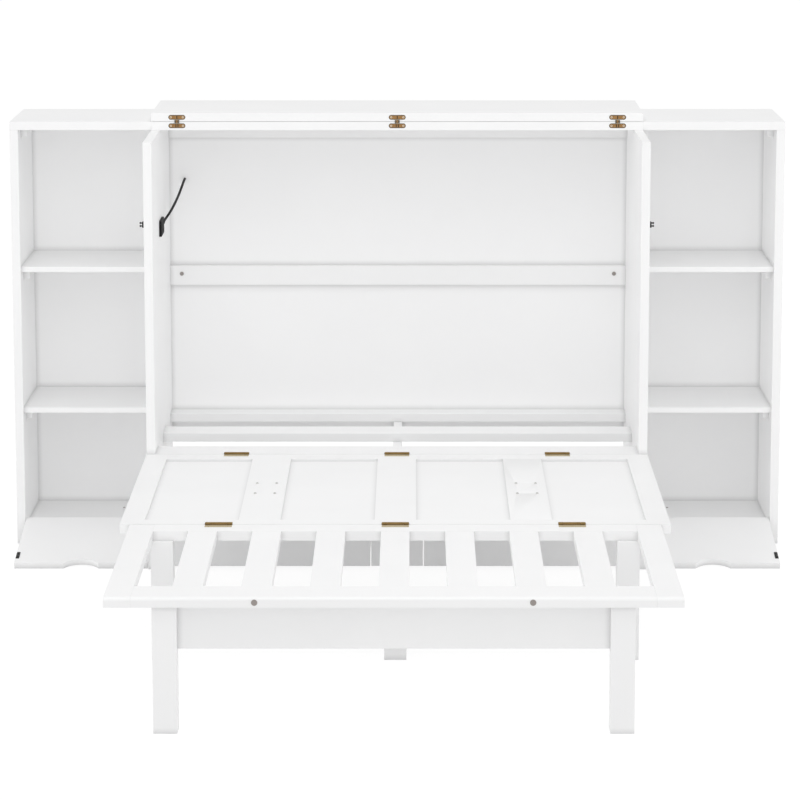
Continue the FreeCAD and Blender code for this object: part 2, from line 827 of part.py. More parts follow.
# Outlet strip: a flat plate with rounded corners, screwed to the left wall inside the cabinet
strip = block(("-inner_half", "-strip_forward", "strip_low"), ("strip_thick", "strip_long", "strip_tall"))
corners = []
for y_end, y_turn in (("-strip_forward", 1), ("-strip_forward + strip_long", -1)):
    for z_end, z_turn in (("strip_low", 1), ("strip_low + strip_tall", -1)):
        y_low = y_end if y_turn > 0 else f"{y_end} - strip_corner"
        z_low = z_end if z_turn > 0 else f"{z_end} - strip_corner"
        deep = "strip_thick + 2 * overrun"
        square = block(("-inner_half - overrun", y_low, z_low), (deep, "strip_corner", "strip_corner"))
        middle = (
            "-inner_half - overrun",
            f"{y_end} + {y_turn} * strip_corner",
            f"{z_end} + {z_turn} * strip_corner",
        )
        corners.append(cut(square, [rod("x", middle, "strip_corner", deep)]))
node("outlet_strip", cut(strip, corners))
doc.recompute()


def size(alias):
    """A size from the sheet as a plain number."""
    return float(sheet.get(alias))


def lead_path(points, bend_share=0.45):
    """Straight runs joined by tangent arcs, each as large as its two runs allow."""
    edges = []
    start = points[0]
    for before, corner, after in zip(points, points[1:], points[2:]):
        run_in = corner - before
        run_out = after - corner
        reach = bend_share * min(run_in.Length, run_out.Length)
        bend = reach / math.tan(run_in.getAngle(run_out) / 2)
        print(f"lead bends by a radius of {bend:.0f} mm")
        run_in.normalize()
        run_out.normalize()
        inward = (run_out - run_in).normalize()
        middle = corner + inward * (math.hypot(reach, bend) - bend)
        edges.append(Part.LineSegment(start, corner - run_in * reach).toShape())
        edges.append(Part.Arc(corner - run_in * reach, middle, corner + run_out * reach).toShape())
        start = corner + run_out * reach
    edges.append(Part.LineSegment(start, points[-1]).toShape())
    return Part.Wire(edges)


# Lead of the outlet strip, from its rear end to the hole in the back panel
lead_start = size("strip_long") - size("strip_forward")
lead_reach = size("back_face") + size("back_thick") - lead_start
corners = [
    Vector(
        from_wall - size("inner_half"),
        size("centre_shift") + lead_start + share * lead_reach,
        size("strip_low") + up,
    )
    for from_wall, share, up in LEAD_ROUTE
]
path = lead_path(corners)
ring = Part.Circle(corners[0], corners[1] - corners[0], size("lead_radius"))
lead = doc.addObject("Part::Feature", "lead")
lead.Shape = path.makePipeShell([Part.Wire([ring.toShape()])], True, False)
node("outlet_lead", lead)
section = math.pi * size("lead_radius") ** 2
print(f"lead is {path.Length:.0f} mm long, volume share {lead.Shape.Volume / section / path.Length:.4f}")

doc.recompute()
for item in doc.Objects:
    if "Invalid" in item.State or "Error" in item.State:
        raise RuntimeError(f"{item.Label} did not build: {item.State}")
os.makedirs("parts", exist_ok=True)
for item in nodes:
    if item.Shape.isNull() or not item.Shape.isValid():
        raise RuntimeError(f"{item.Label} has no valid shape")
    item.Shape.exportStep(f"parts/{item.Label}.step")
print(len(nodes), "nodes written")
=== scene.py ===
import math

import bmesh
import bpy
from mathutils import Matrix, Vector


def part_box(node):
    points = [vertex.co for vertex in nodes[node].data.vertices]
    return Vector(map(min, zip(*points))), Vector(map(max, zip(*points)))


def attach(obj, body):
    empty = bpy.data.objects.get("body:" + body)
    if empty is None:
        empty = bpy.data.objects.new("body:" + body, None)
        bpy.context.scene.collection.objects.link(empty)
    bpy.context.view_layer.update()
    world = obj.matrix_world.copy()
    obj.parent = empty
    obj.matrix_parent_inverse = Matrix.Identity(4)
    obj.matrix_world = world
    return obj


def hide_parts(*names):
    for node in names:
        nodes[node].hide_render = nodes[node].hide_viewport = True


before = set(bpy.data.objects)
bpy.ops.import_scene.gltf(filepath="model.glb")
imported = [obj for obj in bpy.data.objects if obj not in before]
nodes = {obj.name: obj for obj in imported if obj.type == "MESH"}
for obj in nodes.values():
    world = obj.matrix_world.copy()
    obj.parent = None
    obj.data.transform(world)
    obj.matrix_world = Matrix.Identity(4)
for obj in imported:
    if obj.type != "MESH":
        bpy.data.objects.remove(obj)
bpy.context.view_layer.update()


# White boards: fibreboard panels under a satin lacquer, sprayed and baked. The spray leaves a
# fine orange-peel skin, and the long edges are sanded round before painting.
def start_material(name, colour, roughness, metallic=0.0):
    """A new material and its shader, with the plain settings made on the shader itself."""
    material = bpy.data.materials.new(name)
    material.use_nodes = True
    shader = material.node_tree.nodes["Principled BSDF"]
    shader.inputs["Base Color"].default_value = (*colour, 1)
    shader.inputs["Roughness"].default_value = roughness
    shader.inputs["Metallic"].default_value = metallic
    return material, shader


def noise(material, scale, detail=2.0, stretch=(1, 1, 1)):
    """Noise over the object's own coordinates, in metres."""
    tree = material.node_tree
    place = tree.nodes.new("ShaderNodeTexCoord")
    turn = tree.nodes.new("ShaderNodeMapping")
    turn.inputs["Scale"].default_value = stretch
    pattern = tree.nodes.new("ShaderNodeTexNoise")
    pattern.inputs["Scale"].default_value = scale
    pattern.inputs["Detail"].default_value = detail
    tree.links.new(place.outputs["Object"], turn.inputs["Vector"])
    tree.links.new(turn.outputs["Vector"], pattern.inputs["Vector"])
    return pattern.outputs["Fac"]


def vary_colour(material, shader, pattern, darker, lighter):
    """The base colour drifts between two close tones."""
    tree = material.node_tree
    ramp = tree.nodes.new("ShaderNodeValToRGB")
    ramp.color_ramp.elements[0].position = 0.35
    ramp.color_ramp.elements[1].position = 0.65
    ramp.color_ramp.elements[0].color = (*darker, 1)
    ramp.color_ramp.elements[1].color = (*lighter, 1)
    tree.links.new(pattern, ramp.inputs["Fac"])
    tree.links.new(ramp.outputs["Color"], shader.inputs["Base Color"])


def vary_roughness(material, shader, pattern, low, high):
    """The gloss drifts between two roughnesses."""
    tree = material.node_tree
    reach = tree.nodes.new("ShaderNodeMapRange")
    reach.inputs["From Min"].default_value = 0.3
    reach.inputs["From Max"].default_value = 0.7
    reach.inputs["To Min"].default_value = low
    reach.inputs["To Max"].default_value = high
    tree.links.new(pattern, reach.inputs["Value"])
    tree.links.new(reach.outputs["Result"], shader.inputs["Roughness"])


def raise_skin(material, shader, pattern, height, strength=0.5):
    """A fine relief, its height in metres."""
    tree = material.node_tree
    bump = tree.nodes.new("ShaderNodeBump")
    bump.inputs["Strength"].default_value = strength
    bump.inputs["Distance"].default_value = height
    tree.links.new(pattern, bump.inputs["Height"])
    tree.links.new(bump.outputs["Normal"], shader.inputs["Normal"])


def shade_joints(material, shader, reach, share):
    """Where another board stands close, the base colour darkens into a fine line: painted shade in
    the joints.
    """
    tree = material.node_tree
    near = tree.nodes.new("ShaderNodeAmbientOcclusion")
    near.samples = 8
    near.inputs["Distance"].default_value = reach
    fade = tree.nodes.new("ShaderNodeMapRange")
    fade.inputs["From Min"].default_value = 0.45
    fade.inputs["From Max"].default_value = 1.0
    fade.inputs["To Min"].default_value = share
    fade.inputs["To Max"].default_value = 1.0
    joint_shade_colour = tree.nodes.new("ShaderNodeVectorMath")
    joint_shade_colour.operation = "SCALE"
    tree.links.new(near.outputs["AO"], fade.inputs["Value"])
    tree.links.new(fade.outputs["Result"], joint_shade_colour.inputs["Scale"])
    tree.links.new(shader.inputs["Base Color"].links[0].from_socket, joint_shade_colour.inputs[0])
    tree.links.new(joint_shade_colour.outputs["Vector"], shader.inputs["Base Color"])


def white_lacquer(name, darker, lighter, gloss_low, gloss_high, joints=True):
    """White lacquer with its orange-peel skin, a slow drift of tone and gloss and, unless turned off,
    painted shade where boards meet.
    """
    material, shader = start_material(name, lighter, gloss_high)
    vary_colour(material, shader, noise(material, 3.0), darker, lighter)
    if joints:
        shade_joints(material, shader, reach=0.016, share=0.79)
    vary_roughness(material, shader, noise(material, 9.0), gloss_low, gloss_high)
    raise_skin(material, shader, noise(material, 420.0, detail=3.0), 0.00006)
    shader.inputs["Specular IOR Level"].default_value = 0.45
    return material


def dress(name, material, edge=None):
    """A CAD node takes a material and, where an edge size is given, rounded edges."""
    solid = nodes[name]
    solid.data.materials.clear()
    solid.data.materials.append(material)
    if edge:
        weld = solid.modifiers.new("weld", "WELD")
        weld.merge_threshold = 0.00001
        flat = solid.modifiers.new("flat", "DECIMATE")
        flat.decimate_type = "DISSOLVE"
        flat.angle_limit = math.radians(1)
        bevel = solid.modifiers.new("edge", "BEVEL")
        bevel.width = edge
        bevel.segments = 2
        bevel.limit_method = "ANGLE"
        bevel.angle_limit = math.radians(40)


cooler_white, warmer_white = (0.89, 0.89, 0.892), (0.905, 0.905, 0.906)
# The boards' lacquer darkens where boards meet: painted shade.
board_white = white_lacquer("white_lacquer", cooler_white, warmer_white, 0.34, 0.44)
paired_boards = (
    "centre_side",
    "tower_outer_side",
    "tower_top",
    "tower_bottom",
    "tower_shelves",
    "flap",
    "drawer_front",
    "drawer_box",
)
single_boards = (
    "back_top_rail",
    "back_mid_rail",
    "bed_board_back",
    "bed_board_middle",
    "bed_board_front",
    "centre_partition",
    "base_centre_panel",
    "runner_packers",
    "tower_kick_boards",
    "shelf_supports",
    "front_panel_stiles",
    "front_panel_lower_rail",
    "front_panel_upper_rail",
    "bed_side_rails",
    "bed_back_rail",
    "bed_front_rail",
    "bed_slats",
    "front_legs",
    "rear_legs",
    "front_leg_apron",
)
sided_boards = [f"{board}_{side}" for board in paired_boards for side in ("left", "right")]
for board in [*sided_boards, *single_boards]:
    dress(board, board_white, 0.0008)

# The lid and the fixed top that it lies on: the same boards and lacquer, with finer edges. They lie
# so close that the painted shade between boards would cover their whole edges, so they have none.
lid_white = white_lacquer("lid_lacquer", cooler_white, warmer_white, 0.34, 0.44, joints=False)
for board in ("lid_board", "rear_top_board"):
    dress(board, lid_white, 0.0003)

# Back panels and the front's infills: thin hardboard, slid into grooves, so its edges don't show.
# Both have a white film that is duller than the lacquer. The back panels' film is lighter than the
# boards, painted light for the hollows they close, and the infills' is a little deeper.
lifted_film_white = white_lacquer("lifted_white_film", (0.92, 0.92, 0.922), (0.932, 0.932, 0.933), 0.5, 0.6)
for panel in ("centre_back_panel", "tower_back_left", "tower_back_right"):
    dress(panel, lifted_film_white)
infill_white = white_lacquer(
    "infill_film", (0.893, 0.893, 0.895), (0.906, 0.906, 0.907), 0.45, 0.55
)
dress("front_panel_infills", infill_white)

# Lid hinges: cast brass with an aged finish. Each half is a round-ended plate, let into the edge
# of the lid or of the fixed top and held by two countersunk screws, with barrels on one pin.
bronze, bronze_shader = start_material("aged_bronze", (0.4, 0.22, 0.09), 0.38, metallic=1.0)
vary_colour(bronze, bronze_shader, noise(bronze, 420.0), (0.33, 0.18, 0.07), (0.41, 0.235, 0.1))
vary_roughness(bronze, bronze_shader, noise(bronze, 700.0), 0.32, 0.46)
raise_skin(bronze, bronze_shader, noise(bronze, 1500.0), 0.00003)
# A darker bronze on the plates' rims and on the lower halves' barrels and pin: painted shade on the
# same casting.
shaded_bronze, rim_shader = start_material(
    "shaded_bronze_rim", (0.2, 0.165, 0.125), 0.42, metallic=1.0
)
vary_colour(shaded_bronze, rim_shader, noise(shaded_bronze, 420.0), (0.11, 0.095, 0.07), (0.19, 0.16, 0.12))
vary_roughness(shaded_bronze, rim_shader, noise(shaded_bronze, 900.0), 0.36, 0.5)
# Pale metal for the screws, and on the hinges' necks as a painted highlight.
screw_steel_and_highlight, steel_shader = start_material(
    "screw_steel_and_highlight", (0.78, 0.66, 0.5), 0.34, metallic=1.0
)
vary_roughness(screw_steel_and_highlight, steel_shader, noise(screw_steel_and_highlight, 1200.0), 0.28, 0.42)
raise_skin(screw_steel_and_highlight, steel_shader, noise(screw_steel_and_highlight, 2600.0), 0.00002)
# Near-black brown in the screws' cross recesses, the plates' slots, the sockets' holes and on the
# hinge pins between knuckles: painted shade in recesses.
recess_shade, recess_shade_shader = start_material("recess_shade", (0.05, 0.035, 0.02), 0.7)
vary_roughness(recess_shade, recess_shade_shader, noise(recess_shade, 900.0), 0.6, 0.8)


def sink(bm, level, marks, depth, finish):
    """Rectangles (low x, low y, high x, high y) of a shape's flat top are pressed in."""

    def flat_top():
        return [
            face
            for face in bm.faces
            if face.normal.z > 0.99 and all(abs(vert.co.z - level) < 1e-6 for vert in face.verts)
        ]

    for low_x, low_y, high_x, high_y in marks:
        for point, across in (
            ((low_x, 0, 0), (1, 0, 0)),
            ((high_x, 0, 0), (1, 0, 0)),
            ((0, low_y, 0), (0, 1, 0)),
            ((0, high_y, 0), (0, 1, 0)),
        ):
            faces = flat_top()
            edges = list({edge for face in faces for edge in face.edges})
            verts = list({vert for face in faces for vert in face.verts})
            bmesh.ops.bisect_plane(
                bm, geom=verts + edges + faces, dist=1e-7, plane_co=point, plane_no=across
            )
            bm.normal_update()
    pressed = []
    for face in flat_top():
        middle = face.calc_center_median()
        for low_x, low_y, high_x, high_y in marks:
            if low_x < middle.x < high_x and low_y < middle.y < high_y:
                pressed.append(face)
                break
    made = bmesh.ops.extrude_face_region(bm, geom=pressed)["geom"]
    bmesh.ops.delete(bm, geom=pressed, context="FACES")
    moved = [item for item in made if isinstance(item, bmesh.types.BMVert)]
    bmesh.ops.translate(bm, verts=moved, vec=(0, 0, -depth))
    for face in {face for vert in moved for face in vert.link_faces}:
        face.material_index = finish
    bm.normal_update()


def shape_of(bm):
    """A finished small shape, ready to be stamped into pieces."""
    shape = bpy.data.meshes.new("shape")
    bm.normal_update()
    bm.to_mesh(shape)
    bm.free()
    return shape


def stamp(bm, shape, place, finish=None):
    """A copy of a small shape goes into a piece."""
    copy = shape.copy()
    copy.transform(place)
    if finish is not None:
        for face in copy.polygons:
            face.material_index = finish
    bm.from_mesh(copy)
    bpy.data.meshes.remove(copy)


def soften(bm, width, steps=2, least=50):
    """Every sharp edge of a small shape is rounded."""
    bm.normal_update()
    sharp = [
        edge
        for edge in bm.edges
        if len(edge.link_faces) == 2 and edge.calc_face_angle(0) > math.radians(least)
    ]
    bmesh.ops.bevel(
        bm, geom=sharp, offset=width, segments=steps, profile=0.5, affect="EDGES", material=-1
    )


def screw_head(radius, tall, metal=0, dark=1):
    """A domed head with a cross recess, its flat back on the origin."""
    bm = bmesh.new()
    bmesh.ops.create_cone(bm, cap_ends=True, segments=24, radius1=radius, radius2=radius, depth=tall)
    bmesh.ops.translate(bm, verts=bm.verts, vec=(0, 0, tall / 2))
    rim = [edge for edge in bm.edges if all(vert.co.z > tall / 2 for vert in edge.verts)]
    bmesh.ops.bevel(
        bm, geom=rim, offset=tall * 0.45, segments=3, profile=0.5, affect="EDGES", material=-1
    )
    for face in bm.faces:
        face.material_index = metal
    bm.normal_update()
    arm, half = radius * 0.55, radius * 0.12
    sink(bm, tall, ((-arm, -half, arm, half), (-half, -arm, half, arm)), tall * 0.5, dark)
    return shape_of(bm)


def barrel(radius, long):
    """A rolled knuckle along X with softly rounded ends, centred on the origin."""
    bm = bmesh.new()
    turn = Matrix.Rotation(math.radians(90), 4, "Y")
    bmesh.ops.create_cone(
        bm, cap_ends=True, segments=32, radius1=radius, radius2=radius, depth=long, matrix=turn
    )
    soften(bm, radius * 0.14)
    return shape_of(bm)


def link(name, data):
    """A new object in the scene."""
    made = bpy.data.objects.new(name, data)
    bpy.context.scene.collection.objects.link(made)
    return made


def piece(name, bm, finishes, body, stands_for=None):
    """A new piece takes its materials, rides on its body and stands for its CAD node."""
    mesh = bpy.data.meshes.new(name)
    bmesh.ops.recalc_face_normals(bm, faces=bm.faces)
    bm.to_mesh(mesh)
    bm.free()
    for finish in finishes:
        mesh.materials.append(finish)
    mesh.shade_smooth()
    mesh.set_sharp_from_angle(angle=math.radians(32))
    shown = link(name, mesh)
    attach(shown, body)
    if stands_for:
        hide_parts(stands_for)
    return shown


pill_long, pill_wide, pill_thick, pill_drop = 0.05, 0.0142, 0.0024, 0.0125
pill_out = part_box("lid_hinges_fixed")[1].x - pill_long / 2
end_out = (pill_long - pill_wide) / 2
top_low, top_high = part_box("rear_top_board")
lid_line = (top_high.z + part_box("lid_board")[0].z) / 2
front_y = top_low.y
facing_front = Matrix.Rotation(math.radians(90), 4, "X")
plate_finish, rim_finish, steel_and_highlight_finish, recess_shade_finish = range(4)
hinge_screw = screw_head(0.0031, 0.0007, steel_and_highlight_finish, recess_shade_finish)


def pill_plate(slots):
    """A round-ended plate with a darker rim and near-black slots, both painted shade, its back on the
    origin.
    """
    rim, lip, slot_deep, steps = 0.0018, 0.0004, 0.0014, 36
    bm = bmesh.new()
    # Half a step round, so no corner of the circle lies on the line where it is pulled apart
    turn = Matrix.Rotation(math.pi / steps, 4, "Z")
    bmesh.ops.create_circle(bm, cap_ends=True, segments=steps, radius=pill_wide / 2, matrix=turn)
    for vert in bm.verts:
        vert.co.x += math.copysign(end_out, vert.co.x)
    made = bmesh.ops.extrude_face_region(bm, geom=bm.faces[:])["geom"]
    moved = [item for item in made if isinstance(item, bmesh.types.BMVert)]
    bmesh.ops.translate(bm, verts=moved, vec=(0, 0, pill_thick))
    bmesh.ops.recalc_face_normals(bm, faces=bm.faces)
    for face in bm.faces:
        face.material_index = rim_finish
    top = max(bm.faces, key=lambda face: face.calc_center_median().z)
    bmesh.ops.inset_region(bm, faces=[top], thickness=rim)
    bmesh.ops.inset_region(bm, faces=[top], thickness=lip, depth=-lip)
    top.material_index = plate_finish
    bm.normal_update()
    sink(bm, pill_thick - lip, slots, slot_deep, recess_shade_finish)
    return shape_of(bm)


slot_up, slot_in, slot_out, slot_middle = 0.0043, 0.0018, 0.0046, 0.0014
lower_pill = pill_plate(
    ((-slot_out, -slot_up, -slot_in, slot_up), (slot_in, -slot_up, slot_out, slot_up))
)
upper_pill = pill_plate(((-slot_middle, -slot_up, slot_middle, slot_up),))
neck_wide, neck_tall, neck_thick, neck_up = 0.0105, 0.006, 0.0018, 0.0048
bm = bmesh.new()
bmesh.ops.create_cube(bm, size=1, matrix=Matrix.Diagonal((neck_wide, neck_tall, neck_thick, 1)))
soften(bm, 0.0004)
neck = shape_of(bm)
barrel_radius, barrel_out, barrel_proud, screw_deep = 0.0043, 0.0045, 0.0005, 0.0005
outer_barrel = barrel(barrel_radius, long=0.0041)
middle_barrel = barrel(barrel_radius, long=0.0038)
lid_pin = barrel(0.0016, long=0.0136)
# The lower halves' barrels and pin take the darker bronze as painted shade; the upper halves' barrel
# keeps the plates' bronze.
rolled_below = (
    (-barrel_out, outer_barrel, rim_finish),
    (barrel_out, outer_barrel, rim_finish),
    (0, lid_pin, rim_finish),
)
rolled_above = ((0, middle_barrel, plate_finish),)
for name, body, stands_for, up, plate, rolled in (
    ("lid_hinge_lower_halves", "cabinet", "lid_hinges_fixed", -1, lower_pill, rolled_below),
    ("lid_hinge_upper_halves", "lid", "lid_hinges_moving", 1, upper_pill, rolled_above),
):
    bm = bmesh.new()
    for centre in (-pill_out, 0, pill_out):
        high = lid_line + up * pill_drop
        stamp(bm, plate, Matrix.Translation((centre, front_y + pill_thick, high)) @ facing_front)
        # The necks take the screws' pale metal as a painted highlight.
        neck_spot = (centre, front_y + pill_thick / 2, lid_line + up * neck_up)
        stamp(bm, neck, Matrix.Translation(neck_spot) @ facing_front, steel_and_highlight_finish)
        for along, shape, finish in rolled:
            spot = (centre + along, front_y - barrel_proud, lid_line)
            stamp(bm, shape, Matrix.Translation(spot), finish)
        for end in (-end_out, end_out):
            seat = (centre + end, front_y + screw_deep, high)
            stamp(bm, hinge_screw, Matrix.Translation(seat) @ facing_front)
    piece(name, bm, (bronze, shaded_bronze, screw_steel_and_highlight, recess_shade), body, stands_for)

# Butt hinges: brass leaves let flush into the boards' tops, each held by three countersunk screws.
# The fixed leaf is rolled into two short knuckles and the moving one into a long one between them.
leaf_brass, leaf_shader = start_material("dull_brass", (0.52, 0.43, 0.27), 0.55, metallic=0.3)
brushed = noise(leaf_brass, 180.0, stretch=(0.1, 1, 1))
vary_colour(leaf_brass, leaf_shader, brushed, (0.48, 0.395, 0.245), (0.56, 0.47, 0.3))
brushed = noise(leaf_brass, 900.0, stretch=(0.05, 1, 1))
vary_roughness(leaf_brass, leaf_shader, brushed, 0.48, 0.62)
brushed = noise(leaf_brass, 1600.0, stretch=(0.04, 1, 1))
raise_skin(leaf_brass, leaf_shader, brushed, 0.00002)
# The knuckles, rolled from the leaves, take a much darker brass: painted shade.
knuckle_shade_brass, knuckle_shade_shader = start_material("knuckle_shade_brass", (0.26, 0.165, 0.06), 0.4, metallic=1.0)
vary_colour(knuckle_shade_brass, knuckle_shade_shader, noise(knuckle_shade_brass, 500.0), (0.2, 0.13, 0.05), (0.27, 0.175, 0.07))
vary_roughness(knuckle_shade_brass, knuckle_shade_shader, noise(knuckle_shade_brass, 800.0), 0.34, 0.48)
raise_skin(knuckle_shade_brass, knuckle_shade_shader, noise(knuckle_shade_brass, 1500.0), 0.00003)
hinge_long, leaf_wide, leaf_thick = 0.0715, 0.03, 0.002
fifth = hinge_long / 5
knuckle, knuckle_room, knuckle_gap, pin_proud = 0.004, 0.0045, 0.0004, 0.0006
leaf_finish, knuckle_finish, groove_shade_finish = range(3)
leaf_screw = screw_head(0.0031, 0.0005, leaf_finish, groove_shade_finish)
short_knuckle = barrel(knuckle, fifth - knuckle_gap)
long_knuckle = barrel(knuckle, 3 * fifth - knuckle_gap)
hinge_pin = barrel(0.0019, hinge_long + 2 * pin_proud)


def leaf(moving):
    """A leaf that lies ahead (+Y) of its pin, cut back where the other half's knuckles turn."""
    corner = 0.002
    bm = bmesh.new()
    outline = Matrix.Diagonal((hinge_long / 2, leaf_wide / 2, 1, 1))
    ahead = Matrix.Translation((0, leaf_wide / 2, 0))
    bmesh.ops.create_grid(bm, x_segments=1, y_segments=1, size=1, matrix=ahead @ outline)
    joint = 1.5 * fifth
    for point, across in (
        ((joint, 0, 0), (1, 0, 0)),
        ((-joint, 0, 0), (1, 0, 0)),
        ((0, knuckle_room, 0), (0, 1, 0)),
    ):
        whole = bm.verts[:] + bm.edges[:] + bm.faces[:]
        bmesh.ops.bisect_plane(bm, geom=whole, dist=1e-7, plane_co=point, plane_no=across)
    room = [
        face
        for face in bm.faces
        if face.calc_center_median().y < knuckle_room
        and (abs(face.calc_center_median().x) > joint) == moving
    ]
    bmesh.ops.delete(bm, geom=room, context="FACES")
    bmesh.ops.dissolve_faces(bm, faces=bm.faces[:])
    made = bmesh.ops.extrude_face_region(bm, geom=bm.faces[:])["geom"]
    moved = [item for item in made if isinstance(item, bmesh.types.BMVert)]
    bmesh.ops.translate(bm, verts=moved, vec=(0, 0, -leaf_thick))
    bmesh.ops.recalc_face_normals(bm, faces=bm.faces)
    corners = [
        edge
        for edge in bm.edges
        if all(abs(vert.co.y - leaf_wide) < 1e-6 for vert in edge.verts)
        and abs(edge.verts[0].co.z - edge.verts[1].co.z) > leaf_thick / 2
    ]
    bmesh.ops.bevel(
        bm, geom=corners, offset=corner, segments=4, profile=0.5, affect="EDGES", material=-1
    )
    soften(bm, 0.0002, steps=1)
    return shape_of(bm)


fixed_leaf, moving_leaf = leaf(False), leaf(True)
rail_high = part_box("front_panel_lower_rail")[1]
bed_high = rail_high.z
pin_high = bed_high + knuckle - leaf_thick
edge_gap, screw_out, screw_ahead, screw_sunk = 0.001, 0.026, 0.0185, 0.0003
base_line = rail_high.y + edge_gap
fold_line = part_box("front_panel_upper_rail")[0].y - edge_gap
hinge_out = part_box("panel_hinges_fixed")[1].x - hinge_long / 2
for name, body, halves in (
    ("panel_hinges_fixed", "cabinet", ((base_line, False),)),
    ("front_panel_hinges", "front_panel", ((base_line, True), (fold_line, False))),
    ("bed_hinges", "bed_panel", ((fold_line, True),)),
):
    bm = bmesh.new()
    for line_y, moving in halves:
        for centre in (-hinge_out, 0, hinge_out):
            turn = Matrix.Rotation(math.pi if moving else 0, 4, "Z")
            shape = moving_leaf if moving else fixed_leaf
            place = Matrix.Translation((centre, line_y, bed_high)) @ turn
            stamp(bm, shape, place, leaf_finish)
            for along in (-screw_out, 0, screw_out):
                spot = Matrix.Translation((centre + along, line_y, bed_high)) @ turn
                stamp(bm, leaf_screw, spot @ Matrix.Translation((0, screw_ahead, -screw_sunk)))
            pin_line = Matrix.Translation((centre, line_y, pin_high))
            if moving:
                stamp(bm, long_knuckle, pin_line, knuckle_finish)
                continue
            for end in (-2 * fifth, 2 * fifth):
                spot = pin_line @ Matrix.Translation((end, 0, 0))
                stamp(bm, short_knuckle, spot, knuckle_finish)
            stamp(bm, hinge_pin, pin_line, groove_shade_finish)
    piece(f"{name}_leaves", bm, (leaf_brass, knuckle_shade_brass, recess_shade), body, name)

# Small grey fittings: domed plastic covers over the middle rail's screws, and the flat covers of
# the two bolts that draw the slatted section's front rail to its sides. Both press into holes.
cap_grey, cap_shader = start_material("cap_grey", (0.3, 0.27, 0.25), 0.45)
vary_roughness(cap_grey, cap_shader, noise(cap_grey, 500.0), 0.38, 0.5)
raise_skin(cap_grey, cap_shader, noise(cap_grey, 1800.0), 0.00003)


def turned(profile):
    """A closed shape turned about Z from its (radius, height) points."""
    bm = bmesh.new()
    verts = [bm.verts.new((radius, 0, high)) for radius, high in profile]
    for first, second in zip(verts, verts[1:]):
        bm.edges.new((first, second))
    bmesh.ops.spin(
        bm,
        geom=bm.verts[:] + bm.edges[:],
        cent=(0, 0, 0),
        axis=(0, 0, 1),
        angle=math.radians(360),
        steps=32,
        use_merge=True,
    )
    bmesh.ops.remove_doubles(bm, verts=bm.verts[:], dist=1e-6)
    bmesh.ops.recalc_face_normals(bm, faces=bm.faces)
    return shape_of(bm)


cover_radius, bolt_radius, bolt_proud = 0.006, 0.0075, 0.002
screw_cover = turned(
    (
        (0, 0),
        (cover_radius, 0),
        (cover_radius, 0.0014),
        (0.0055, 0.0022),
        (0.0042, 0.0029),
        (0.0024, 0.003),
        (0.0019, 0.0024),
        (0, 0.0024),
    )
)
bolt_cover = turned(
    (
        (0, 0),
        (bolt_radius, 0),
        (bolt_radius, 0.0016),
        (0.0071, bolt_proud),
        (0.0056, bolt_proud),
        (0.0052, 0.0017),
        (0, 0.0017),
    )
)
low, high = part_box("mid_rail_screws")
bm = bmesh.new()
for centre in (low.x + cover_radius, high.x - cover_radius):
    spot = (centre, high.y, (low.z + high.z) / 2)
    stamp(bm, screw_cover, Matrix.Translation(spot) @ facing_front)
piece("mid_rail_screw_covers", bm, (cap_grey,), "cabinet", "mid_rail_screws")
low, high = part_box("bed_bolts")
bm = bmesh.new()
for centre in (low.x + bolt_radius, high.x - bolt_radius):
    spot = (centre, low.y + bolt_proud, (low.z + high.z) / 2)
    stamp(bm, bolt_cover, Matrix.Translation(spot) @ facing_front)
piece("bed_bolt_covers", bm, (cap_grey,), "bed_panel", "bed_bolts")

# Grey screws in the towers' floors: one small pan head in each, beside the centre unit's wall.
# They hold the floors from above, and the CAD part leaves such small fasteners out.
floor_screw = screw_head(0.0035, 0.0014)
left_from_unit, right_from_unit, screw_back = 0.119, 0.105, 0.253
unit_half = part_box("centre_side_right")[1].x
floor_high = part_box("tower_bottom_left")[1].z
bm = bmesh.new()
for centre in (-unit_half - left_from_unit, unit_half + right_from_unit):
    stamp(bm, floor_screw, Matrix.Translation((centre, front_y + screw_back, floor_high)))
piece("tower_floor_screws", bm, (cap_grey, recess_shade), "cabinet")

# Satin nickel: the closed front's four bar handles. Each bar has rounded ends and stands on two
# posts, and pan-head screws through the board hold them, whose heads show on top.
nickel, nickel_shader = start_material("satin_nickel", (0.58, 0.57, 0.55), 0.32, metallic=1.0)
vary_roughness(nickel, nickel_shader, noise(nickel, 400.0, stretch=(1, 0.04, 1)), 0.26, 0.4)
raise_skin(nickel, nickel_shader, noise(nickel, 1400.0, stretch=(1, 0.03, 1)), 0.00002)
handle_low, handle_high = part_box("front_handles")
bar_long = handle_high.y - handle_low.y
bar_radius, bar_spacing = 0.005, 0.054
round_end = ((0, 0), (0.0028, 0.0002), (0.0043, 0.0012), (bar_radius, 0.003))
bar = turned([*round_end, *((radius, bar_long - along) for radius, along in reversed(round_end))])
post_radius, foot_radius, post_long, post_out = 0.004, 0.0052, 0.027, 0.064
post = turned(
    (
        (0, 0),
        (post_radius, 0),
        (post_radius, 0.02),
        (0.0044, 0.0235),
        (foot_radius, 0.0262),
        (foot_radius, post_long),
        (0, post_long),
    )
)
handle_screw = screw_head(0.004, 0.002)
along_y = Matrix.Rotation(math.radians(-90), 4, "X")
handle_y = (handle_low.y + handle_high.y) / 2
bar_high = handle_low.z + bar_radius
outer_bar = handle_high.x - bar_radius
inner_bar = outer_bar - bar_spacing
bm = bmesh.new()
for centre in (-outer_bar, -inner_bar, inner_bar, outer_bar):
    stamp(bm, bar, Matrix.Translation((centre, handle_low.y, bar_high)) @ along_y)
    for end in (-post_out, post_out):
        stamp(bm, post, Matrix.Translation((centre, handle_y + end, bar_high)))
        stamp(bm, handle_screw, Matrix.Translation((centre, handle_y + end, bed_high)))
piece("front_bar_handles", bm, (nickel, recess_shade), "front_panel", "front_handles")
dress("flap_pins", nickel)

